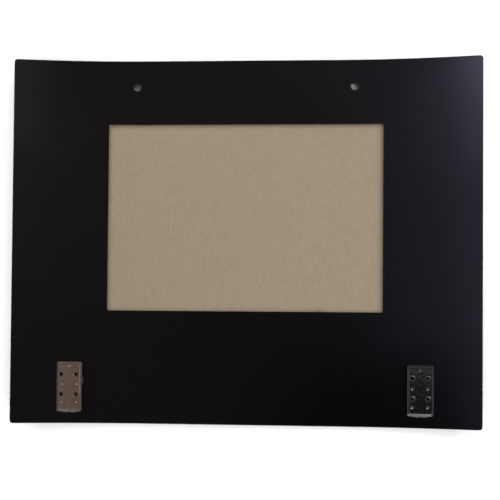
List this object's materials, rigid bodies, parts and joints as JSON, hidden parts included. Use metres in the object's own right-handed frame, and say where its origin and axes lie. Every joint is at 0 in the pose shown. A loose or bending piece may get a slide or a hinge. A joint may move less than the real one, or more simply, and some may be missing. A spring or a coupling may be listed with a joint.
{
  "type": "oven door glass",
  "caption": "Bent tempered outer pane of a built-in oven door, black printed border round a clear window, handle holes and bonded stamped hinge plates on its rear face",
  "frame": {"origin": "middle of the footprint, on the floor under the front face", "axes": "+X across the pane to the right as seen from behind, +Y towards its top edge, +Z out of its rear face, up"},
  "size_m": [0.5948, 0.468, 0.0129],
  "materials": {
    "clear_glass": "polished float glass with a light bronze tint",
    "black_print": "satin black ceramic print, fired on",
    "plate_steel": "smooth pressed steel sheet, slightly dull",
    "black_silicone": "cured black silicone"
  },
  "bodies": {
    "root": {"glass_pane": "clear_glass", "enamel_border": "black_print", "bracket_left": "plate_steel", "bracket_right": "plate_steel", "adhesive_left": "black_silicone", "adhesive_right": "black_silicone"}
  },
  "joints": []
}
